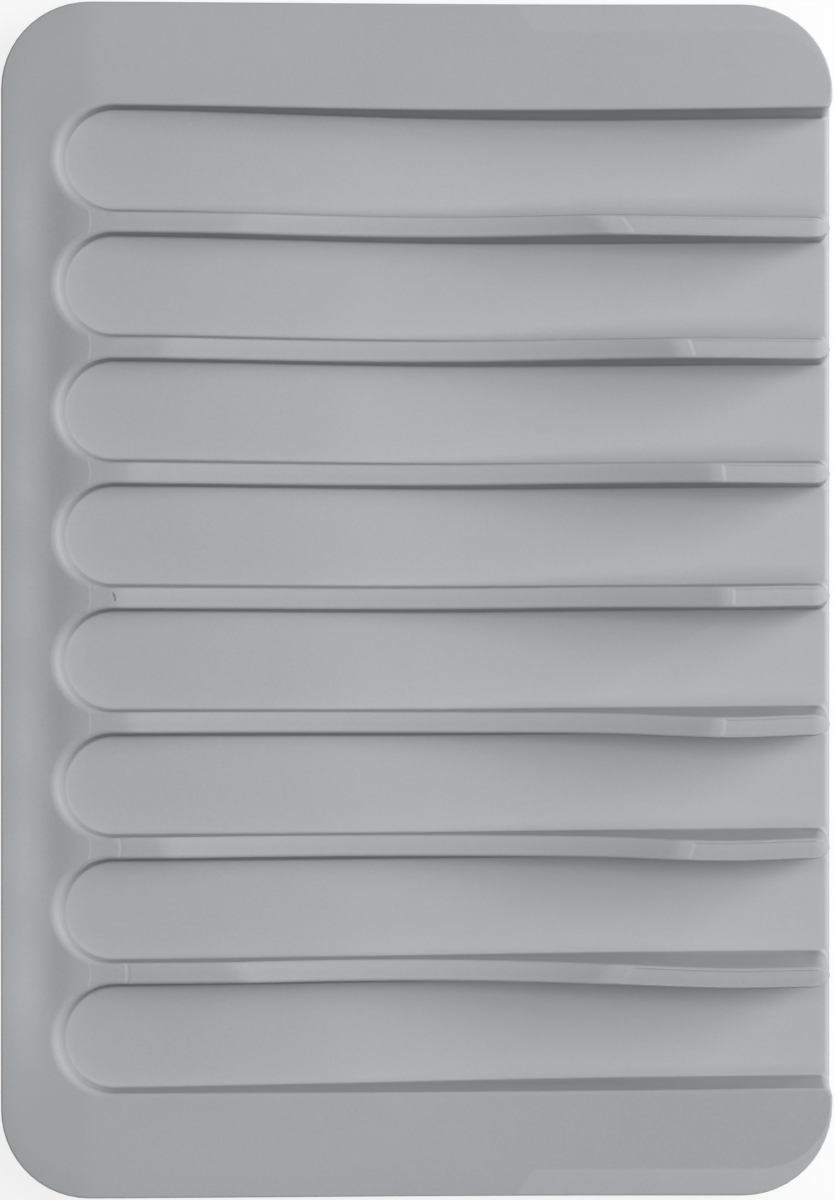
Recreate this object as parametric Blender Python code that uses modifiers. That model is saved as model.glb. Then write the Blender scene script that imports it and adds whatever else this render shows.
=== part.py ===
"""Self-draining soap tray in soft silicone.

The real tray is one moulding. Here it is divided into the base, which holds the floor, the rim at the
closed end and the two side rails, and the ribs that carry the soap. Water runs down the curved floor between
the ribs, from the closed end at -X to the open drain lip at +X. The tray stands on Z = 0, centred.
"""

import math

import bmesh
import bpy
from mathutils import Matrix, Vector

# Overall sizes, in metres. The outline is given at the rim's height, and the outer walls lean out below it.
TRAY_REACH = 0.080  # closed end to drain end, along X
TRAY_WIDTH = 0.115  # across the channels, along Y
CORNER_RADIUS = 0.0085  # corners of the outline, in plan
WALL_DRAFT = 0.0009  # how much further out the outer walls stand at the foot
FOOT_EDGE_RADIUS = 0.0006  # rounding all round the underside
TOP_EDGE_RADIUS = 0.0004  # rounding of the outline's top edge

# Rim, rails and top line
RIM_WIDTH = 0.0050  # closed end: outline to channel ends
RAIL_WIDTH = 0.01005  # each side: outline to outer channel
RAIL_CORNER_RADIUS = 0.0010  # where a rail's inner wall turns into its drain end, in plan
CLOSED_HEIGHT = 0.0125  # height of the rim
LEVEL_REACH = 0.0085  # closed end: how far in the top stays level
RAIL_END_HEIGHT = 0.0092  # height of rails and ribs towards the drain end
SLOPE_REACH = 0.060  # closed end to where the top line has run out level again
SLOPE_START = 0.9  # how steeply the top line sets off from the rim, against its mean slope

# Floor and channels
LIP_THICKNESS = 0.0015  # floor at the drain end
LIP_LENGTH = 0.0040  # level stretch before the drain end
LIP_NOSE_RADIUS = 0.0006  # rounding of the drain end's upper edge
END_DEPTH = 0.0008  # depth of a channel at its closed end
END_RUN = 0.0010  # how far the closed end's wall leans back, rim to floor
EDGE_BREAK = 0.0002  # bevel on the inner edges of the rim and rails
RIB_COUNT = 7
RIB_THICKNESS = 0.0020
OUTER_CHANNEL_EXTRA = 0.00045  # how much wider the two channels by the rails are
NECK_LENGTH = 0.0003  # base carried on past the round channel ends, towards each rib

# Ribs and the hollow for the soap
SCOOP_HALF_REACH = 0.0292  # oval hollow in the rib tops, along X
SCOOP_HALF_WIDTH = 0.0451  # the same along Y
SCOOP_DEPTH = 0.0031  # below the rails' top line, at the middle
SCOOP_SHIFT = 0.0004  # the oval's centre, from the tray's centre towards the lip
NOSE_RADIUS = 0.0018  # rounding of a rib's drain end, seen from the side
NOSE_SETBACK = 0.0002  # rib end behind the drain end
RIB_EDGE_RADIUS = 0.00025
SEAT_GAP = 0.0003  # between a rib and the floor or neck that carries it

# Smoothness of the curves, as counts of straight pieces
TOP_LINE_STEPS = 20
FLOOR_STEPS = 18
RIB_STEPS = 30
CORNER_STEPS = 8
RAIL_CORNER_STEPS = 4
SCALLOP_STEPS = 14
NOSE_STEPS = 4

# Cutters reach this far past what they cut
OVERSHOOT = 0.004
LEAN_PAST = 0.2  # a leaning wall carries on below the floor by this share of its height

# Places that follow from the sizes above, with the closed end at CLOSED_X and the drain end at DRAIN_X
CLOSED_X = -TRAY_REACH / 2
DRAIN_X = TRAY_REACH / 2
RIM_X = CLOSED_X + RIM_WIDTH
LEVEL_X = CLOSED_X + LEVEL_REACH
SLOPE_END_X = CLOSED_X + SLOPE_REACH
FLOOR_START_X = RIM_X + END_RUN
FLOOR_LEVEL_X = DRAIN_X - LIP_LENGTH
CHANNEL_COUNT = RIB_COUNT + 1
INNER_HALF_WIDTH = TRAY_WIDTH / 2 - RAIL_WIDTH
CHANNEL_WIDTH = (
    2 * INNER_HALF_WIDTH - RIB_COUNT * RIB_THICKNESS - 2 * OUTER_CHANNEL_EXTRA
) / CHANNEL_COUNT
PITCH = CHANNEL_WIDTH + RIB_THICKNESS
NECK_X = FLOOR_START_X + (CHANNEL_WIDTH + OUTER_CHANNEL_EXTRA) / 2 + NECK_LENGTH


def arc_rise(run, full_run, full_rise):
    """Height over its lowest point of a circular arc that is level there and climbs full_rise in full_run."""
    radius = (full_run**2 + full_rise**2) / (2 * full_rise)
    return radius - math.sqrt(radius**2 - run**2)


def top_line(x):
    """Height of the rim and rails: level over the rim, then a soft slope that runs out level again."""
    along = min(1.0, max(0.0, (x - LEVEL_X) / (SLOPE_END_X - LEVEL_X)))
    eased = along**2 * (3.0 - 2.0 * along) + SLOPE_START * along * (1.0 - along) ** 2
    return CLOSED_HEIGHT - (CLOSED_HEIGHT - RAIL_END_HEIGHT) * eased


def floor_line(x):
    """Height of the channel floor: an arc from the closed end that runs out level before the drain end."""
    if x >= FLOOR_LEVEL_X:
        return LIP_THICKNESS
    start_rise = CLOSED_HEIGHT - END_DEPTH - LIP_THICKNESS
    return LIP_THICKNESS + arc_rise(FLOOR_LEVEL_X - x, FLOOR_LEVEL_X - FLOOR_START_X, start_rise)


def front_x(z):
    """Where the leaning drain end stands at a height."""
    return DRAIN_X + WALL_DRAFT * (1.0 - z / CLOSED_HEIGHT)


def scoop(x, y):
    """Depth of the oval hollow: full at its centre and nothing at its edge, as a paraboloid."""
    across = ((x - SCOOP_SHIFT) / SCOOP_HALF_REACH) ** 2 + (y / SCOOP_HALF_WIDTH) ** 2
    return SCOOP_DEPTH * max(0.0, 1.0 - across)


def stations(start, end, steps):
    return [start + (end - start) * i / steps for i in range(steps + 1)]


def arc_points(centre_x, centre_y, radius, start_degrees, end_degrees, steps):
    """Points along a circular arc, both ends included."""
    turns = [math.radians(a) for a in stations(start_degrees, end_degrees, steps)]
    return [(centre_x + radius * math.cos(t), centre_y + radius * math.sin(t)) for t in turns]


def collection(name):
    made = bpy.data.collections.new(name)
    bpy.context.scene.collection.children.link(made)
    return made


def silicone(name, colour):
    material = bpy.data.materials.new(name)
    material.use_nodes = True
    shader = material.node_tree.nodes["Principled BSDF"]
    shader.inputs["Base Color"].default_value = (*colour, 1.0)
    shader.inputs["Roughness"].default_value = 0.62
    shader.inputs["Metallic"].default_value = 0.0
    material.diffuse_color = (*colour, 1.0)
    return material


def extruded(name, outline, thickness, group):
    """Mesh object from a flat outline in XY, thickness deep and centred on Z = 0."""
    curve = bpy.data.curves.new(name + "_outline", "CURVE")
    curve.dimensions = "2D"
    curve.fill_mode = "BOTH"
    curve.extrude = thickness / 2
    spline = curve.splines.new("POLY")
    spline.points.add(len(outline) - 1)
    for point, (u, v) in zip(spline.points, outline):
        point.co = (u, v, 0.0, 1.0)
    spline.use_cyclic_u = True
    flat = bpy.data.objects.new(name + "_outline", curve)
    bpy.context.scene.collection.objects.link(flat)
    bpy.context.view_layer.update()
    graph = bpy.context.evaluated_depsgraph_get()
    mesh = bpy.data.meshes.new_from_object(flat.evaluated_get(graph))
    bpy.data.objects.remove(flat)
    work = bmesh.new()
    work.from_mesh(mesh)
    bmesh.ops.remove_doubles(work, verts=work.verts, dist=1e-6)
    bmesh.ops.recalc_face_normals(work, faces=work.faces)
    work.to_mesh(mesh)
    work.free()
    mesh.name = name
    made = bpy.data.objects.new(name, mesh)
    group.objects.link(made)
    return made


def stood_up(obj):
    """Turns an outline drawn as (x, z) from the XY plane into the XZ plane, its thickness then along Y."""
    obj.data.transform(Matrix.Rotation(math.radians(90), 4, "X"))
    return obj


def as_cutter(obj):
    obj.hide_render = True
    obj.display_type = "WIRE"
    return obj


def boolean(obj, operation, cutter):
    modifier = obj.modifiers.new(f"{operation.title()} {cutter.name}", "BOOLEAN")
    modifier.operation = operation
    modifier.solver = "EXACT"
    modifier.object = cutter


def bevel(obj, name, width, segments):
    modifier = obj.modifiers.new(name, "BEVEL")
    modifier.width = width
    modifier.segments = segments
    modifier.limit_method = "ANGLE"
    modifier.angle_limit = math.radians(50)


def shade(obj):
    obj.data.shade_smooth()
    obj.data.set_sharp_from_angle(angle=math.radians(35))


def lofted(name, rings, group):
    """Closed solid through rings of as many points each, lowest ring first, with a flat cap at each end."""
    work = bmesh.new()
    rows = [[work.verts.new(point) for point in ring] for ring in rings]
    for lower, upper in zip(rows, rows[1:]):
        for i in range(len(lower)):
            j = (i + 1) % len(lower)
            work.faces.new((lower[i], lower[j], upper[j], upper[i]))
    work.faces.new(rows[0])
    work.faces.new(rows[-1])
    bmesh.ops.recalc_face_normals(work, faces=work.faces)
    mesh = bpy.data.meshes.new(name)
    work.to_mesh(mesh)
    work.free()
    made = bpy.data.objects.new(name, mesh)
    group.objects.link(made)
    return made


def tray_outline(z):
    """Rounded rectangle, seen from above: the leaning outer walls at height z."""
    in_x = DRAIN_X - CORNER_RADIUS
    in_y = TRAY_WIDTH / 2 - CORNER_RADIUS
    radius = CORNER_RADIUS + front_x(z) - DRAIN_X
    corners = ((in_x, in_y), (-in_x, in_y), (-in_x, -in_y), (in_x, -in_y))
    points = []
    for turn, (x, y) in enumerate(corners):
        points += arc_points(x, y, radius, 90 * turn, 90 * turn + 90, CORNER_STEPS)
    return points


def well_outline(ends_x, end_z, grow=0.0):
    """Everything inside the rails, seen from above and larger by grow: round channel ends, and necks between.

    The channels' closed ends lie at ends_x. end_z is the height at which the drain end's rounded corners lie.
    """
    far_x = DRAIN_X + 2 * OVERSHOOT
    corner_x = front_x(end_z) - RAIL_CORNER_RADIUS - grow
    corner_y = INNER_HALF_WIDTH + RAIL_CORNER_RADIUS + grow
    points = [(far_x, -corner_y)]
    points += arc_points(corner_x, -corner_y, RAIL_CORNER_RADIUS, 0, 90, RAIL_CORNER_STEPS)
    side = -INNER_HALF_WIDTH
    for channel in range(CHANNEL_COUNT):
        outer = channel in (0, CHANNEL_COUNT - 1)
        radius = (CHANNEL_WIDTH + (OUTER_CHANNEL_EXTRA if outer else 0.0)) / 2
        centre = (ends_x + radius, side + radius)
        points += arc_points(*centre, radius + grow, -90, -270, SCALLOP_STEPS)
        side += 2 * radius
        if channel < CHANNEL_COUNT - 1:
            points += [(NECK_X - grow, side + grow), (NECK_X - grow, side + RIB_THICKNESS - grow)]
            side += RIB_THICKNESS
    points += arc_points(corner_x, corner_y, RAIL_CORNER_RADIUS, -90, 0, RAIL_CORNER_STEPS)
    return [*points, (far_x, corner_y)]


def over_floor_profile():
    """Side view of the space over the floor: the floor's arc, the rounded drain end, and a lid far above."""
    lid = CLOSED_HEIGHT + 2 * OVERSHOOT
    floor = [(x, floor_line(x)) for x in stations(CLOSED_X, FLOOR_LEVEL_X, FLOOR_STEPS)]
    nose_z = LIP_THICKNESS - LIP_NOSE_RADIUS
    nose_x = front_x(nose_z) - LIP_NOSE_RADIUS
    nose = arc_points(nose_x, nose_z, LIP_NOSE_RADIUS, 90, 20, NOSE_STEPS)
    far_x = DRAIN_X + OVERSHOOT
    return [*floor, *nose, (far_x, nose[-1][1]), (far_x, lid), (CLOSED_X, lid)]


def under_top_profile():
    """Side view of the blank: level rim, hollow top line, and a base far below."""
    line = [(x, top_line(x)) for x in stations(LEVEL_X, DRAIN_X + OVERSHOOT, TOP_LINE_STEPS)]
    bottom = [(DRAIN_X + OVERSHOOT, -OVERSHOOT), (CLOSED_X - OVERSHOOT, -OVERSHOOT)]
    return [*line, *bottom, (CLOSED_X - OVERSHOOT, CLOSED_HEIGHT)]


def rib_profile(y):
    """Side view of the rib at y: floor curve below, hollowed top line above, round nose at the drain end."""

    def top(x):
        return top_line(x) - scoop(x, y)

    def bottom(x):
        return floor_line(x) + SEAT_GAP

    root_x = NECK_X + SEAT_GAP
    nose_z = top(DRAIN_X - NOSE_RADIUS) - NOSE_RADIUS
    nose_x = front_x(nose_z) - NOSE_SETBACK - NOSE_RADIUS
    below = [(x, bottom(x)) for x in stations(root_x, front_x(LIP_THICKNESS) - NOSE_SETBACK, FLOOR_STEPS)]
    nose = arc_points(nose_x, nose_z, NOSE_RADIUS, 0, 90, NOSE_STEPS)
    above = [(x, top(x)) for x in stations(nose_x, root_x, RIB_STEPS)]
    return [*below, *nose, *above[1:]]


def build_well(group):
    """Solid of the space inside the rails: it leans from the floor to the brink, then flares by the bevel."""
    top_z = top_line(DRAIN_X)
    toe = [Vector((x, y, floor_line(x))) for x, y in well_outline(FLOOR_START_X, LIP_THICKNESS)]
    brink = [Vector((x, y, top_line(x) - EDGE_BREAK)) for x, y in well_outline(RIM_X, top_z)]
    grown = [Vector((x, y, top_line(x))) for x, y in well_outline(RIM_X, top_z, EDGE_BREAK)]
    low = [t + (t - b) * LEAN_PAST for t, b in zip(toe, brink)]
    flare = [g + (g - b) for g, b in zip(grown, brink)]
    foot = [(p.x, p.y, -OVERSHOOT) for p in low]
    lid = [(p.x, p.y, CLOSED_HEIGHT + OVERSHOOT) for p in flare]
    return lofted("channel_well", (foot, low, brink, flare, lid), group)


def round_foot(mesh):
    """Rounds the edge between the underside and the outer walls, all the way round."""
    work = bmesh.new()
    work.from_mesh(mesh)
    low = [e for e in work.edges if all(abs(v.co.z) < 1e-6 for v in e.verts)]
    by_walls = [e for e in low if any(abs(f.normal.z) < 0.5 for f in e.link_faces)]
    bmesh.ops.bevel(work, geom=by_walls, offset=FOOT_EDGE_RADIUS, segments=3, profile=0.5, affect="EDGES")
    work.to_mesh(mesh)
    work.free()


def build_base(group, cutters, material):
    over = CLOSED_HEIGHT + OVERSHOOT
    walls = [[(x, y, z) for x, y in tray_outline(z)] for z in (0.0, over)]
    base = lofted("tray_base", walls, group)
    round_foot(base.data)

    blank = as_cutter(
        stood_up(extruded("top_line_limit", under_top_profile(), TRAY_WIDTH + OVERSHOOT, cutters))
    )
    boolean(base, "INTERSECT", blank)
    bevel(base, "Outline top edge", TOP_EDGE_RADIUS, 2)

    well = as_cutter(build_well(cutters))
    over_floor = as_cutter(
        stood_up(extruded("floor_limit", over_floor_profile(), TRAY_WIDTH + OVERSHOOT, cutters))
    )
    boolean(well, "INTERSECT", over_floor)
    boolean(base, "DIFFERENCE", well)
    base.data.materials.append(material)
    shade(base)
    return base


def build_rib(number, group, material):
    y = (number - (RIB_COUNT + 1) / 2) * PITCH
    rib = stood_up(extruded(f"rib_{number}", rib_profile(y), RIB_THICKNESS, group))
    rib.location = Vector((0, y, 0))
    bevel(rib, "Rib edges", RIB_EDGE_RADIUS, 2)
    rib.data.materials.append(material)
    shade(rib)
    return rib


def main():
    for obj in list(bpy.data.objects):
        bpy.data.objects.remove(obj, do_unlink=True)
    tray = collection("soap_tray")
    cutters = collection("cutters")
    build_base(tray, cutters, silicone("tray_silicone", (0.40, 0.41, 0.42)))
    for number in range(1, RIB_COUNT + 1):
        build_rib(number, tray, silicone(f"rib_{number}_silicone", (0.42, 0.43, 0.44)))


main()
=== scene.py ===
# %% [markdown]
# # A draining soap dish in grey silicone
# The real dish is one soft moulding, seen here from straight above. Water runs down eight sloping channels
# and off the open end, while seven ribs carry the soap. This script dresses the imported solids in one
# seamless skin.

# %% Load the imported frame
import math

import bmesh
import bpy
import numpy as np
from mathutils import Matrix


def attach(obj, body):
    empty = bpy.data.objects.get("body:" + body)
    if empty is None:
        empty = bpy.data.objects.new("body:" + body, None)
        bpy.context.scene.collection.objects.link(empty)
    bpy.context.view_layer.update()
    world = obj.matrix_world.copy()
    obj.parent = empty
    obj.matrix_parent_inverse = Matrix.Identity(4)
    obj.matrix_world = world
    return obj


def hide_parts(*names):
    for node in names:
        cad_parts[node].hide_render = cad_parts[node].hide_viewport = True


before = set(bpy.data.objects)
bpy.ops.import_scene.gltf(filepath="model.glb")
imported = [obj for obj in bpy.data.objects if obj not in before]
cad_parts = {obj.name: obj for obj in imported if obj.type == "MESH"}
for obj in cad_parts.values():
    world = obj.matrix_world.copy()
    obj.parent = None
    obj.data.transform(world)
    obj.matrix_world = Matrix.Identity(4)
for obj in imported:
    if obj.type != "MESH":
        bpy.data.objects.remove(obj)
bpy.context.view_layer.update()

# %% [markdown]
# ## The camera
# The outline shows no side wall on any side and the ribs lean away from the middle evenly, so the camera
# looks straight down. Their lean against their height gives its distance, and the outline then gives the
# lens. A longer lens further off would flatten the lean, so both are kept as found.

# %% Camera
CAMERA_HEIGHT = 0.370
LENS = 111.66

camera = bpy.data.objects.new("camera", bpy.data.cameras.new("camera"))
bpy.context.scene.collection.objects.link(camera)
camera.location = (0, 0, CAMERA_HEIGHT)
camera.data.lens = LENS
camera.data.clip_start = 0.01
bpy.context.scene.camera = camera
print("camera", CAMERA_HEIGHT, "m up, lens", LENS, "mm")

# %% [markdown]
# ## Heights of the moulding
# Three curves carry the whole form. The top line is level along the closed rim, then slopes softly down and
# runs out level. The floor falls faster, and ends in a thin lip. An oval hollow dips the rib tops for the
# soap. All sizes here are in millimetres, and the mesh is turned into metres once, at the end.

# %% Top, floor and hollow
RIM_TOP, RAIL_END_TOP, LIP_TOP = 12.5, 9.2, 1.5
SLOPE_FROM, SLOPE_TO, SLOPE_START = -31.5, 20.0, 0.9
HOLLOW_DEPTH = 3.1
HOLLOW_X, HOLLOW_HALF_X, HOLLOW_HALF_Y = 0.4, 29.2, 45.1
FLOOR_RISE, FLOOR_SWELL = 8.8, 1.55
RIM_SINK, SINK_X, SINK_SPREAD, PITCH = 0.34, -36.1, 2.1, 12
WALL_DRAFT = 0.9


def hollow(x, y):
    """Depth of the soap hollow: along a rib a parabola, whose depth falls towards the rails as share^0.6."""
    share = np.maximum(0.05, 1 - (y / HOLLOW_HALF_Y) ** 2)
    bowl = np.maximum(0, 1 - ((x - HOLLOW_X) / HOLLOW_HALF_X) ** 2 - (y / HOLLOW_HALF_Y) ** 2)
    return HOLLOW_DEPTH * bowl / share**0.4


def sink(x, y):
    """Depth of the rim's sink marks: a bell across the rim, deepest between two channel ends."""
    bell = np.exp(-(((x - SINK_X) / SINK_SPREAD) ** 2))
    fade = np.clip((46 - np.abs(y)) / 6, 0, 1)
    return RIM_SINK * bell * fade**2 * (3 - 2 * fade) * (0.65 + 0.35 * np.cos(2 * np.pi * y / PITCH))


def top_line(x, y):
    """Height of rim, rails and ribs, less hollow and sink: the slope is u^2 (3 - 2u) + start u (1 - u)^2."""
    u = np.clip((x - SLOPE_FROM) / (SLOPE_TO - SLOPE_FROM), 0, 1)
    eased = u**2 * (3 - 2 * u) + SLOPE_START * u * (1 - u) ** 2
    return RIM_TOP - (RIM_TOP - RAIL_END_TOP) * eased - hollow(x, y) - sink(x, y)


def floor_line(x):
    """Height of the channel floors: above the level lip by 8.8 times v^2 (1 + 1.55 v (1 - v))."""
    v = np.maximum(0, (36 - x) / 70)
    return LIP_TOP + FLOOR_RISE * v**2 * (1 + FLOOR_SWELL * v * (1 - v))


def draft(z):
    """How far the outer walls stand outside the rim's outline: nought at the top, most at the foot."""
    return WALL_DRAFT * (1 - z / RIM_TOP)


print("rib height at the middle", round(float(top_line(0, 0) - floor_line(0)), 2), "mm")

# %% [markdown]
# ## Rows along a channel
# Each half of a channel is one sheet with two parameters. The first runs along it: round a quarter of its
# closed end, down its length, and round its drain end. A sheet that follows the form in this way keeps the
# edges crisp with few faces, where a height map would break up on the steep rib walls.

# %% Row parameters
TURN_STEPS, BACK_STEPS, SWING_STEPS = 24, 9, 6
LENGTH_STEPS, NOSE_STEPS = 108, 12

turn = np.linspace(0, np.pi / 2, TURN_STEPS + 1)[:-1]
length = np.linspace(0, 1, LENGTH_STEPS + 1)
nose = np.linspace(0, np.pi / 2, NOSE_STEPS + 1)[1:]


def along(at_turn, start, stop, at_nose):
    """One coordinate down a column: values round the closed end, an even run, values round the drain end."""
    ends = np.broadcast_to(at_turn, turn.shape), np.broadcast_to(at_nose, nose.shape)
    return np.concatenate([ends[0], start + (stop - start) * length, ends[1]])


print("rows along each sheet", len(turn) + len(length) + len(nose))

# %% [markdown]
# ## Guide points across a channel wall
# Six guides lie across each wall: land, brink, top and foot of the wall, toe and floor. The toe stands
# further in than the brink, so that the moulding leaves its mould, and the brink is softest at the closed
# end. There, a wide rounding catches the light as a bright crescent. At the drain end the ribs close like
# the bow of a boat, the rails turn a small corner, and the floor rolls over the lip.

# %% Guide points
CHANNEL_X, TOE_IN = -29.30, 0.28
BREAK, TIP_BREAK, TIP_DROP, FOOT_UP, COVE, TOP_EDGE, FOOT_EDGE = 0.30, 1.0, 1.3, 0.1, 0.3, 0.2, 0.6
RIB_NOSE, RIB_DROP, RIB_SETBACK, RAIL_NOSE, LIP_NOSE = 1.9, 1.8, 0.2, 1.0, 0.6
CORNER = 8.5
CORNER_X, CORNER_Y = 40 - CORNER, 57.5 - CORNER
turn_break = BREAK + (TIP_BREAK - BREAK) * np.cos(turn)
brink_size = along(turn_break, BREAK, BREAK, BREAK)


def guide(half, spread, height, run, inset, drop, setback):
    """Path of one guide point at its spread from the channel's middle.

    The closed end is a quarter circle with spread as its radius. The drain end is a quarter ellipse: the
    point moves sideways by inset and down by drop, and runs out by run to the leaning front, less setback.
    """
    spread = spread + 0 * brink_size
    closed, side = spread[:TURN_STEPS], spread[-1]
    end_z = height(40.0, 20.0)
    nose_z = end_z - drop * (1 - np.cos(nose))
    front = 40 + draft(nose_z) - setback - run * (1 - np.sin(nose))
    x = along(
        half["x"] - closed * np.cos(turn), half["x"], 40 + draft(end_z) - setback - run, front
    )
    sideways = along(closed * np.sin(turn), side, side, side + inset * (1 - np.cos(nose)))
    y = half["middle"] + half["side"] * sideways
    z = height(x, y)
    z[-NOSE_STEPS:] = nose_z
    return np.stack([x, y, z], axis=1)


def under_brink(x, y):
    """Height of the wall's top: the rounding's drop below the land, which grows towards the closed end."""
    drop = BREAK + (TIP_DROP - BREAK) * np.clip((CHANNEL_X - x) / 5, 0, 1) ** 2
    return top_line(x, y) - np.minimum(drop, 0.6 * (top_line(x, y) - floor_line(x)))


def over_toe(x, y):
    """Height of the wall's foot, the cove's size above the floor, or less where the wall is low."""
    return floor_line(x) + np.minimum(FOOT_UP, 0.4 * (top_line(x, y) - floor_line(x)))


def ground(x, y):
    """Height of the floor, as a function of both directions like the others."""
    return floor_line(x) + 0 * y


def wall_guides(half):
    """Land, brink, wall top, wall foot, toe, floor and the channel's middle line."""
    reach = half["reach"]
    top, foot, toe = reach - 0.1 * TOE_IN, reach - 0.9 * TOE_IN, reach - TOE_IN
    if half["rail"]:
        run, drop, setback = RAIL_NOSE, 0.0, 0.0
        stop = reach + RAIL_NOSE
        land = guide(half, reach + brink_size, top_line, run - BREAK, stop - reach - BREAK, 0.0, BREAK)
    else:
        run, drop, setback = RIB_NOSE, RIB_DROP, RIB_SETBACK
        stop = half["edge"]
        land = guide(half, reach + brink_size, top_line, run, stop - reach - BREAK, drop, setback)
    return [
        land,
        guide(half, reach, top_line, run, stop - reach, drop, setback),
        guide(half, top, under_brink, run, stop - top, drop, setback),
        guide(half, foot, over_toe, RAIL_NOSE, stop - foot, 0, setback),
        guide(half, toe, ground, RAIL_NOSE, stop - toe, LIP_NOSE, setback),
        guide(half, toe - COVE, ground, LIP_NOSE, 0, LIP_NOSE, 0),
        guide(half, 0, ground, LIP_NOSE, 0, LIP_NOSE, 0),
    ]


halves = []
for number in range(8):
    nominal, outer = 12 * number - 42, number in (0, 7)
    middle = nominal + (0.225 * np.sign(nominal) if outer else 0)
    for side in (-1, 1):
        halves.append({
            "middle": middle,
            "x": CHANNEL_X + (0.225 if outer else 0),
            "side": side,
            "reach": 5.225 if outer else 5.0,
            "edge": abs(nominal + 6 * side - middle),
            "rail": (number, side) in ((0, -1), (7, 1)),
        })
print("half channels", len(halves))

# %% [markdown]
# ## The outer edge of each sheet
# A sheet starts on the middle line of a rib, or on the outer edge of a rail, and at the closed end it fans
# out over the rim. Both kinds follow one rule for the fan, so that neighbours share their points exactly
# and can be joined afterwards. The outer edge is kept as a foot on the outline's core and a direction to
# walk outwards.

# %% Sheet edges
def rim_edge(half):
    """Foot and outward direction of the tray's outline for each row of a rail's sheet."""
    middle, side = half["middle"], half["side"]
    straight = 2
    arc = np.linspace(0, np.pi / 2, TURN_STEPS - BACK_STEPS - straight + 1)
    back = np.linspace(abs(middle), CORNER_Y, BACK_STEPS + 1)[:-1]
    tail = np.linspace(-CORNER_X, CHANNEL_X, straight + 1)[1:-1]
    x = along(
        np.concatenate([0 * back - CORNER_X, 0 * arc - CORNER_X, tail]), CHANNEL_X, CORNER_X, CORNER_X
    )
    y = along(np.concatenate([back, 0 * arc + CORNER_Y, 0 * tail + CORNER_Y]), CORNER_Y, CORNER_Y, CORNER_Y)
    side_on = np.pi / 2
    away = along(np.concatenate([0 * back, arc, 0 * tail + side_on]), side_on, side_on, side_on + nose)
    return np.stack([x, side * y], axis=1), np.stack([-np.cos(away), side * np.sin(away)], axis=1)


def rib_edge(half):
    """Middle line of a rib: across the back edge, down the rim to the neck, along the rib to its nose."""
    middle, side, edge = half["middle"], half["side"], half["edge"]
    neck = (CHANNEL_X - (5 + turn_break) * np.cos(turn))[BACK_STEPS + SWING_STEPS:]
    back = np.full(BACK_STEPS, -40 + TOP_EDGE)
    swing = np.linspace(-40 + TOP_EDGE, neck[0], SWING_STEPS + 1)[:-1]
    end_z = RAIL_END_TOP - RIB_DROP * (1 - np.cos(nose))
    front = 40 + draft(end_z) - RIB_SETBACK - RIB_NOSE * (1 - np.sin(nose))
    stop = 40 + draft(RAIL_END_TOP) - RIB_SETBACK - RIB_NOSE
    x = along(np.concatenate([back, swing, neck]), CHANNEL_X, stop, front)
    fan = np.minimum(np.arange(TURN_STEPS) / BACK_STEPS, 1)
    y = middle + side * edge * along(fan, 1, 1, 1)
    z = top_line(x, y)
    z[-NOSE_STEPS:] = end_z
    return np.stack([x, y, z], axis=1)


def walk_out(foot, way, out, z):
    """Points on the outer wall: from the foot, the corner radius plus out along the way, at height z."""
    plan = foot + (CORNER + np.asarray(out)[..., None]) * way
    return np.concatenate([plan, np.asarray(z)[..., None]], axis=-1)


def top_edge(foot, way):
    """Where the land stops, one edge rounding inside the outline at the height of the land there."""
    z = top_line(*(foot + (CORNER - TOP_EDGE) * way).T)
    return walk_out(foot, way, draft(z) - TOP_EDGE, z), z


print("rim rows", len(rim_edge(halves[0])[0]), "rib rows", len(rib_edge(halves[1])))

# %% [markdown]
# ## Sheets across a channel
# The second parameter runs across: over the land, round the brink, down the wall, round the cove and along
# the floor to the channel's middle. The roundings are quadratic curves, which blend two straight runs with
# few columns and stay between their guide points.

# %% Columns of a sheet
LAND_STEPS, ROUND_STEPS, WALL_STEPS, FLOOR_STEPS = 7, 6, 3, 6


def rounded(start, corner, stop):
    """A soft corner in columns: (1-t)^2 start + 2t(1-t) corner + t^2 stop."""
    t = np.linspace(0, 1, ROUND_STEPS + 1)[None, :, None]
    return (1 - t) ** 2 * start[:, None] + 2 * t * (1 - t) * corner[:, None] + t**2 * stop[:, None]


def ruled(start, stop, steps, crowd=1):
    """Straight columns: (1-t) start + t stop, with t the crowd-th power of even steps."""
    t = np.linspace(0, 1, steps + 1)[None, :, None] ** crowd
    return (1 - t) * start[:, None] + t * stop[:, None]


def sheet(half):
    """All columns of one half channel, with land and floor laid on their own heights."""
    land, brink, wall_top, wall_foot, toe, floor, middle = wall_guides(half)
    edge = top_edge(*rim_edge(half))[0] if half["rail"] else rib_edge(half)
    flat = ruled(land, edge, LAND_STEPS, 2)[:, ::-1]
    bed = ruled(floor, middle, FLOOR_STEPS, 2)
    body = slice(0, -NOSE_STEPS)
    flat[body, 1:-1, 2] = top_line(flat[body, 1:-1, 0], flat[body, 1:-1, 1])
    bed[body, 1:-1, 2] = floor_line(bed[body, 1:-1, 0])
    return np.concatenate([
        flat[:, :-1],
        rounded(land, brink, wall_top)[:, :-1],
        ruled(wall_top, wall_foot, WALL_STEPS)[:, :-1],
        rounded(wall_foot, toe, floor)[:, :-1],
        bed,
    ], axis=1)


sheets = [sheet(half) for half in halves]
print("sheets", len(sheets), "of", sheets[0].shape[:2])

# %% [markdown]
# ## Outer wall, front and underside
# The outer wall is one band round three sides. It leans out by 0.9 mm towards the foot, as a moulding does
# to leave its mould, and the outline in the photograph shows it. The front closes the rails' ends and the
# lip. The underside is not seen, and is a flat face made of shrinking rings.

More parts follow.
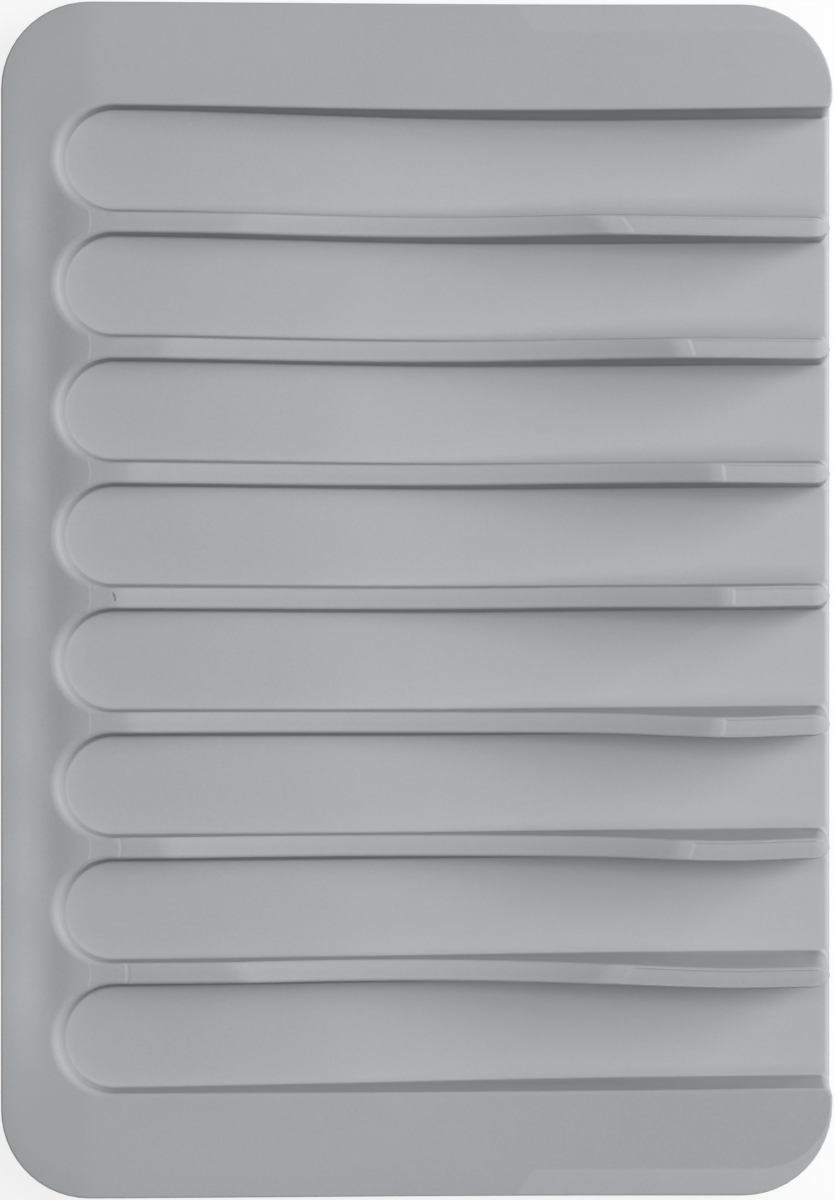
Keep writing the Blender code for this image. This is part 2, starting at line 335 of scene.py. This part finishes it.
# %% Skirt, front and underside
def skirt(foot, way):
    """The outer wall at each foot: top rounding, leaning wall in two runs, foot rounding."""
    border, z = top_edge(foot, way)
    turned = walk_out(foot, way, draft(z), z)
    below = walk_out(foot, way, draft(z - TOP_EDGE), z - TOP_EDGE)
    sill_z = 0 * z + LIP_TOP + COVE
    low_z = 0 * z + FOOT_EDGE
    sill, low = walk_out(foot, way, draft(sill_z), sill_z), walk_out(foot, way, draft(low_z), low_z)
    return np.concatenate([
        rounded(border, turned, below)[:, :-1],
        ruled(below, sill, WALL_STEPS)[:, :-1],
        ruled(sill, low, WALL_STEPS)[:, :-1],
        foot_round(low, way),
    ], axis=1)


def foot_round(low, way):
    """The rounding from the outer wall onto the table."""
    inward = np.concatenate([way, np.zeros((len(way), 1))], axis=1) * FOOT_EDGE
    down = np.array([0, 0, FOOT_EDGE])
    return rounded(low, low - down, low - down - inward)


feet, ways = [], []
for half in halves:
    if half["rail"]:
        foot, way = rim_edge(half)
    else:
        y = half["middle"] + half["side"] * half["edge"] * np.linspace(0, 1, BACK_STEPS + 1)
        foot, way = np.stack([0 * y - CORNER_X, y], axis=1), np.stack([0 * y - 1, 0 * y], axis=1)
    order = slice(None, None, half["side"])
    feet.append(foot[order])
    ways.append(way[order])
band = skirt(np.concatenate(feet), np.concatenate(ways))

WALL_COLUMNS = slice(LAND_STEPS, LAND_STEPS + ROUND_STEPS + WALL_STEPS + 1)
COVE_COLUMNS = slice(LAND_STEPS + ROUND_STEPS + WALL_STEPS, None)
rail_ends = []
for edge_row, rail_sheet in ((band[0], sheets[0]), (band[-1], sheets[-1])):
    outside = edge_row[: ROUND_STEPS + WALL_STEPS + 1]
    rail_ends.append(ruled(rail_sheet[-1, WALL_COLUMNS], outside, LAND_STEPS, 2)[:, ::-1])
sill = [rail_ends[0][-1, :]]
for half, part in zip(halves, sheets):
    sill.append(part[-1, COVE_COLUMNS][:: -half["side"]])
sill.append(rail_ends[1][-1, ::-1])
sill = np.concatenate(sill)
low = np.stack([0 * sill[:, 0] + 40 + draft(FOOT_EDGE), sill[:, 1], 0 * sill[:, 2] + FOOT_EDGE], axis=1)
forward = np.tile([1.0, 0.0], (len(low), 1))
front = np.concatenate([ruled(sill, low, WALL_STEPS)[:, :-1], foot_round(low, forward)], axis=1)

loop = np.concatenate([band[:, -1], front[::-1, -1], band[:1, -1]])
rings = np.array([1, 0.93, 0.75, 0.5, 0.25, 0])[None, :, None]
underside = loop[:, None] * np.where([True, True, False], rings, 1)
print("outer band", band.shape[:2], "front", front.shape[:2], "underside", underside.shape[:2])

# %% [markdown]
# ## The give of soft rubber
# The ribs of the real dish are not ruler-straight: each one sways sideways by a fraction of a millimetre,
# and leans a little. One smooth field of sideways shifts bends the whole skin at once. It is a curve along
# each rib, blended between ribs, with one set for the tops and one for the feet, so that nothing tears.

# %% Sway field
SWAY_X = [-29, 4, 18, 31, 39]
TOP_SWAY = {
    47.45: [0.13, -0.04, 0.05, 0.18, 0.29],
    36: [0.38, 0.27, 0.42, 0.21, 0.10],
    24: [0.26, 0.21, 0.42, 0.43, 0.33],
    12: [0.24, 0.20, 0.36, 0.34, 0.26],
    0: [0.20, 0.12, 0.27, 0.32, 0.42],
    -12: [0.20, 0.03, -0.04, -0.42, -0.18],
    -24: [0.16, 0.06, -0.04, -0.34, -0.10],
    -36: [0.08, -0.03, -0.34, -0.78, -0.68],
    -47.45: [0.01, -0.15, -0.10, 0.05, 0.17],
}
FOOT_SWAY_RAILS = {47.45: [0.25, 0.05, 0.15, 0.40, 0.49], -47.45: [0.02, -0.04, 0.0, 0.08, 0.15]}


def foot_sway(y):
    """Sway of a rib's foot: mostly shared by all ribs, growing a little towards the +Y rail."""
    return [0.20 + 0.0075 * y, 0.07 + 0.0055 * y, 0.18 + 0.007 * y, 0.30 + 0.0085 * y, 0.36 + 0.0085 * y]


def smooth_curve(x, knots, values):
    """Curve through the knots: each span is a cubic whose end slopes are those of its neighbours' chord."""
    knots, values = np.asarray(knots, float), np.asarray(values, float)
    slopes = np.gradient(values, knots)
    slopes[[0, -1]] = 0
    x = np.clip(x, knots[0], knots[-1])
    k = np.clip(np.searchsorted(knots, x) - 1, 0, len(knots) - 2)
    span = knots[k + 1] - knots[k]
    t = (x - knots[k]) / span
    rise = (3 - 2 * t) * t**2
    bow = span * (t * (1 - t) ** 2 * slopes[k] - t**2 * (1 - t) * slopes[k + 1])
    return values[k] + (values[k + 1] - values[k]) * rise + bow


def field(x, y, rows):
    """The curves of all ribs, weighted by how near y lies to each one."""
    lines = sorted(rows)
    ends = [-57.5] + lines + [57.5]
    total = 0 * x
    for k, line in enumerate(lines, start=1):
        weight = np.interp(y, [ends[k - 1], line, ends[k + 1]], [0, 1, 0])
        total = total + weight * smooth_curve(x, SWAY_X, rows[line])
    return total


FOOT_SWAY = {12 * k: foot_sway(12 * k) for k in range(-3, 4)} | FOOT_SWAY_RAILS


def swayed(points):
    """Moves points sideways by the top's sway, the foot's, or between them by their height on the wall."""
    x, y, z = points.T
    deep = np.clip((top_line(x, y) - z) / (top_line(x, y) - floor_line(x)), 0, 1)
    shift = (1 - deep) * field(x, y, TOP_SWAY) + deep * field(x, y, FOOT_SWAY)
    return np.stack([x, y + shift, z], axis=1)


middle_sway = field(np.array([4.0]), np.array([0.0]), TOP_SWAY)[0]
print("sway at the soap's middle", round(float(middle_sway), 3), "mm")

# %% [markdown]
# ## One seamless skin
# All sheets become one mesh. Points that two sheets share are merged, which also closes the poles in the
# middle of the channel ends and the line where a rib closes at its nose. The faces are then turned outwards
# together.

# %% Join the sheets
def grid_faces(rows, columns, first):
    """Four corners of each cell of a grid whose points are numbered row by row from first."""
    corner = first + (np.arange(rows - 1)[:, None] * columns + np.arange(columns - 1)).ravel()
    return np.stack([corner, corner + 1, corner + columns + 1, corner + columns], axis=1)


def skin(name, patches):
    """A mesh object from grids of points in millimetres."""
    points = np.concatenate([patch.reshape(-1, 3) for patch in patches])
    starts = np.cumsum([0] + [patch.shape[0] * patch.shape[1] for patch in patches])
    faces = np.concatenate([grid_faces(*patch.shape[:2], first) for patch, first in zip(patches, starts)])
    mesh = bpy.data.meshes.new(name)
    mesh.from_pydata(swayed(points) * 0.001, [], faces.tolist())
    x, y, z = points.T
    deep = np.clip((top_line(x, y) - z) / (top_line(x, y) - floor_line(x)), 0, 1)
    straight = mesh.attributes.new("straight", "FLOAT_VECTOR", "POINT")
    beyond = np.hypot(np.maximum(np.abs(x) - CORNER_X, 0), np.maximum(np.abs(y) - CORNER_Y, 0))
    outer_wall = (beyond > CORNER + 0.02) & ((x < 39) | (np.abs(y) > 48.5))
    deep[outer_wall | (z < 0.5 * LIP_TOP)] = -1
    straight.data.foreach_set("vector", np.stack([x, y, deep], axis=1).ravel())
    work = bmesh.new()
    work.from_mesh(mesh)
    bmesh.ops.remove_doubles(work, verts=work.verts, dist=4e-6)
    bmesh.ops.recalc_face_normals(work, faces=work.faces)
    open_edges = sum(not edge.is_manifold for edge in work.edges)
    work.to_mesh(mesh)
    work.free()
    mesh.shade_smooth()
    piece = bpy.data.objects.new(name, mesh)
    bpy.context.scene.collection.objects.link(piece)
    print(name, len(mesh.vertices), "points,", len(mesh.polygons), "faces, open edges", open_edges)
    return piece


tray = skin("tray_skin", sheets + [band, front, underside] + rail_ends)
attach(tray, "root")
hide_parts("tray_base", *[f"rib_{k}" for k in range(1, 8)])

# %% [markdown]
# ## Shader maths as expressions
# A finish is easier to read as a formula than as a web of nodes. One small class wraps a socket, and its
# operators add Math nodes. One method makes any other node, with its settings first.

# %% Node helper
class Flow:
    """A socket in a material, with arithmetic."""

    def __init__(self, tree, socket):
        self.tree, self.socket = tree, socket

    def node(self, kind, settings=None, output=0, **values):
        """Adds a node, applies its settings, fills its sockets by number (s0) or name, returns an output."""
        made = self.tree.nodes.new(kind)
        for key, value in (settings or {}).items():
            setattr(made, key, value)
        for key, value in values.items():
            place = int(key[1:]) if key[0] == "s" and key[1:].isdigit() else key.replace("_", " ")
            if isinstance(value, Flow):
                self.tree.links.new(value.socket, made.inputs[place])
            else:
                made.inputs[place].default_value = value
        return Flow(self.tree, made.outputs[output])

    def maths(self, operation, *values):
        inputs = {f"s{k}": value for k, value in enumerate(values)}
        return self.node("ShaderNodeMath", {"operation": operation}, **inputs)

    def __add__(self, other):
        return self.maths("ADD", self, other)

    def __sub__(self, other):
        return self.maths("SUBTRACT", self, other)

    def __rsub__(self, other):
        return self.maths("SUBTRACT", other, self)

    def __mul__(self, other):
        return self.maths("MULTIPLY", self, other)

    def __truediv__(self, other):
        return self.maths("DIVIDE", self, other)

    __radd__, __rmul__ = __add__, __mul__


def step_up(value, low, high):
    """0 below low, 1 above high, smooth between."""
    return value.node(
        "ShaderNodeMapRange", {"interpolation_type": "SMOOTHSTEP"}, Value=value, From_Min=low, From_Max=high
    )


def new_material(name):
    """A material with its principled shader and the object's own coordinates."""
    material = bpy.data.materials.new(name)
    material.use_nodes = True
    tree = material.node_tree
    start = Flow(tree, tree.nodes["Principled BSDF"].outputs[0])
    place = start.node("ShaderNodeTexCoord", output="Object")
    return material, tree.nodes["Principled BSDF"].inputs, start, place


# %% [markdown]
# ## Silicone
# Moulded silicone is matt with a faint bloom. Its own colour is nearly even: broad soft mottling and a fine
# grain from the mould are all that break it. Broad and fine noise on the object's coordinates give both.
# Painted light and shade lie on top: a thin dark line of painted shadow where the walls meet the floor, a
# painted highlight along the rib tops, and painted shade in one small nick. The shadow line follows the
# straight attribute, which keeps each point's place before the sway, and its depth as a share of the
# channel's, or -1 on the outer wall.

# %% Silicone finish
silicone, skin_in, start, place = new_material("grey_silicone")
BODY = (0.380, 0.390, 0.402)
EVEN, CLOUD_TONE, GRAIN_TONE, NICK_SHADE_TONE, FOOT_SHADOW_TONE = 0.95, 0.08, 0.12, 0.20, 0.14


def unsigned(value):
    """A value without its sign."""
    return value.maths("ABSOLUTE", value)


def root(value):
    """The square root of a value."""
    return value.maths("SQRT", value)


def above_zero(value):
    """A value, or nought where it is negative."""
    return value.maths("MAXIMUM", value, 0)


straight = start.node("ShaderNodeAttribute", {"attribute_name": "straight"}, output="Vector")
x, y, deep = (start.node("ShaderNodeSeparateXYZ", output=axis, Vector=straight) for axis in "XYZ")
across = y.maths("WRAP", y, 6.0, -6.0)
off_rib = unsigned(across)
on_top = step_up(deep, -0.10, -0.02) * (1 - step_up(deep, 0.02, 0.10))
on_floor = step_up(deep, 0.9, 1.0)
# Painted shadow: a thin dark line at the foot of each wall, where it meets the floor.
painted_foot_shadow = step_up(deep, 0.5, 0.95) * (1 - step_up(deep, 0.985, 1.0))
inner = 1 - step_up(unsigned(y), 41.0, 42.0)
rib_top = on_top * inner * (1 - step_up(off_rib, 0.9, 1.1)) * step_up(x, -30.0, -28.5)

clouds = start.node("ShaderNodeTexNoise", Vector=place, Scale=70.0, Detail=3.0, Roughness=0.55)
grain = start.node("ShaderNodeTexNoise", Vector=place, Scale=3200.0, Detail=2.0, Roughness=0.6)
# Painted highlight: the rib tops are made lighter on their +Y half and a little along their -Y edge.
painted_edge_highlight = 0.05 * step_up(across, -0.4, 0.9) + 0.02 * step_up(0 - across, 0.2, 0.8)


def spot(at_x, at_y, half_x, half_y, lean=0.0):
    """1 inside a small leaning oval, soft at its edge: the root of its two squared distances."""
    off_y = (y - at_y) / half_y
    off_x = (x - at_x + lean * (y - at_y)) / half_x
    return 1 - step_up(root(off_x * off_x + off_y * off_y), 0.6, 1.3)


# The nick is a small dent, bumped in the fine relief; its darker colour is painted shade in the dent.
nick = spot(-29.21, 0.09, 0.16, 0.42, 0.25)
tone = EVEN + CLOUD_TONE * clouds + GRAIN_TONE * (grain - 0.5)
# Painted light and shade on the tone: a highlight on the rib tops' edges, shade in the nick, a shadow line
# at the walls' feet.
tone = tone + rib_top * painted_edge_highlight - NICK_SHADE_TONE * nick - FOOT_SHADOW_TONE * painted_foot_shadow
print("silicone nodes so far", len(start.tree.nodes))

# %% [markdown]
# ## Painted light and shade
# The photograph is a little brighter or darker from place to place than an even colour under soft panels.
# Most terms below paint that light and shade into the colour by position, with x towards the drain end and y
# across the channels: tops near the rails lighter towards the closed end, tops darker towards the drain end
# on the -Y side and a little darker overall, the rim lighter, everything lighter towards the drain end, the
# upper floors and the rib noses darker. They match one picture and its light. For a catalogue of plain
# materials, leave this cell out and keep the tone above.

# %% Painted light and shade
ALONG, ALONG_FLOOR, TOP_SHADE_TONE, FLOOR_SHADE_TONE, NOSE_SHADE_TONE, PALER_PATCH_TONE = 0.0012, 0.65, 0.045, 0.05, 0.15, 0.03
drain_end, closed_end = above_zero(x + 5), above_zero(-5 - x)
rails = step_up(unsigned(y), 36.0, 54.0)
low_side, low_rim = step_up(0 - y, -8.0, 44.0), step_up(0 - y, -12.0, 50.0)
rim_outside = 1 - step_up(x, -41.0, -36.5)
rim_middle = step_up(x, -39.5, -37.5) * (1 - step_up(x, -37.5, -34.0))
necks = 1 - step_up(x, -33.0, -29.0)
on_rim = (1 - rails) * (0.12 * rim_outside + 0.08 * rim_middle + 0.13 * necks * low_rim)
# Painted light and shade on the tops: lighter near the rails at the closed end, darker at the drain end on
# the -Y side, darker overall, lighter on the rim.
painted_light = on_top * (0.0035 * closed_end * rails - 0.0022 * drain_end * low_side - TOP_SHADE_TONE + on_rim)

upper_floor = on_floor * step_up(x, -33.0, -22.0) * (1 - step_up(x, -14.0, -4.0))
rib_nose = inner * (1 - on_floor) * step_up(x, 37.6, 39.2)
# Painted light growing towards the drain end, and painted shade on the upper floors and on the rib noses.
painted_light = painted_light + ALONG * x * (1 - (1 - ALONG_FLOOR) * on_floor) - FLOOR_SHADE_TONE * upper_floor
painted_light = painted_light - NOSE_SHADE_TONE * rib_nose

# A paler patch on the floor of the channel at y -6, from x 14 to 33, with a sharp slanted edge that fades on
# its far side.
past_patch_edge = 0.456 * (x - 15.4) - 0.890 * (y + 9.8)
paler_patch = on_floor * (1 - step_up(unsigned(y + 6), 4.6, 5.0))
paler_patch = paler_patch * step_up(x, 14.0, 20.0) * (1 - step_up(x, 30.0, 33.0))
paler_patch = paler_patch * step_up(past_patch_edge, -0.15, 0.15) * (1 - step_up(past_patch_edge, 0.3, 3.5))
tone = tone + painted_light + PALER_PATCH_TONE * paler_patch
colour = start.node("ShaderNodeVectorMath", {"operation": "SCALE"}, s0=BODY, Scale=tone)
start.tree.links.new(colour.socket, skin_in["Base Color"])
gloss = 0.58 + 0.08 * (clouds - 0.5)
start.tree.links.new(gloss.socket, skin_in["Roughness"])
skin_in["Specular IOR Level"].default_value = 0.35
print("tone and gloss joined, nodes", len(start.tree.nodes))

# %% [markdown]
# ## Fine relief
# Soft rubber that was handled and pressed shows faint steps across the rib tops, and one small nick. They
# are under a tenth of a millimetre, so they are raised by bump on the rib tops alone and need no faces of
# their own.

# %% Fine relief
def crease(at, half, drop, where=1.0):
    """A small step down towards the drain end, at a place along x that may bend with y."""
    return -drop * step_up(x - at, -half, half) * where


ring_x, ring_y = (x - 0.4) / 30.3, y / 47.9
ring = root(ring_x * ring_x + ring_y * ring_y)
middle_of_rib = inner * (1 - step_up(off_rib, 0.65, 0.85))
tick = -0.07 * step_up(ring, 0.993, 1.007) * middle_of_rib * step_up(x, 5.0, 6.0)
rib_6 = 1 - step_up(unsigned(y + 24), 0.9, 1.1)
rib_7 = 1 - step_up(unsigned(y + 36), 0.9, 1.1)
relief = (
    crease(-31.42 - 0.12 * across * across, 0.14, 0.030, inner * (1 - step_up(off_rib, 1.9, 2.4)))
    + crease(-28.60 - 0.20 * across * across, 0.15, 0.045, rib_6)
    - crease(-28.30 - 0.20 * across * across, 0.08, 0.015, rib_6)
    + crease(-27.95 - 0.20 * across * across, 0.16, 0.060, rib_7)
    - crease(-27.62 - 0.20 * across * across, 0.08, 0.020, rib_7)
    + tick
    - 0.08 * nick
)
relief = on_top * relief + 0.008 * grain
pits = start.node("ShaderNodeBump", Height=relief, Strength=1.0, Distance=0.001)
start.tree.links.new(pits.socket, skin_in["Normal"])
tray.data.materials.append(silicone)
print("finish", silicone.name, "nodes", len(start.tree.nodes))

# %% [markdown]
# ## Table and light
# The photograph has a white ground and one broad soft light from the drain end and a little from above it,
# so the closed-end walls shine and the far walls stay grey. A large soft panel gives that, and the world
# fills in.

# %% Table and light
bpy.ops.mesh.primitive_plane_add(size=6, location=(0, 0, -0.0002))
table = bpy.context.object
table.name = "table_top"
paper, paper_in, start, place = new_material("white_table")
paper_in["Base Color"].default_value = (0.85, 0.85, 0.85, 1)
paper_in["Roughness"].default_value = 0.9
glow = start.node("ShaderNodeEmission", Color=(1, 1, 1, 1), Strength=1.0)
seen = start.node("ShaderNodeLightPath", output="Is Camera Ray")
mixed = start.node("ShaderNodeMixShader", s0=0.8 * seen, s1=start, s2=glow)
start.tree.links.new(mixed.socket, start.tree.nodes["Material Output"].inputs["Surface"])
table.data.materials.append(paper)


def panel(name, place, aim, size, power):
    """A square soft light at place, turned to face aim."""
    lamp = bpy.data.objects.new(name, bpy.data.lights.new(name, "AREA"))
    lamp.data.size, lamp.data.energy = size, power
    bpy.context.scene.collection.objects.link(lamp)
    away = np.array(place, float) - np.array(aim, float)
    lamp.location = place
    lamp.rotation_euler = (0, math.acos(away[2] / np.linalg.norm(away)), math.atan2(away[1], away[0]))
    return lamp


panel("low_panel", (0.467, 0.125, 0.150), (0, 0, 0), 0.28, 1.80)
panel("raised_panel", (0.370, 0.099, 0.321), (0, 0, 0), 0.30, 0.72)
panel("panel_above", (0.044, 0, 0.498), (0, 0, 0), 0.30, 1.44)
world = bpy.data.worlds.new("studio")
bpy.context.scene.world = world
world.use_nodes = True
world.node_tree.nodes["Background"].inputs["Color"].default_value = (1, 1, 1, 1)
world.node_tree.nodes["Background"].inputs["Strength"].default_value = 0.04
bpy.context.scene.view_settings.view_transform = "Standard"
print("stage ready")
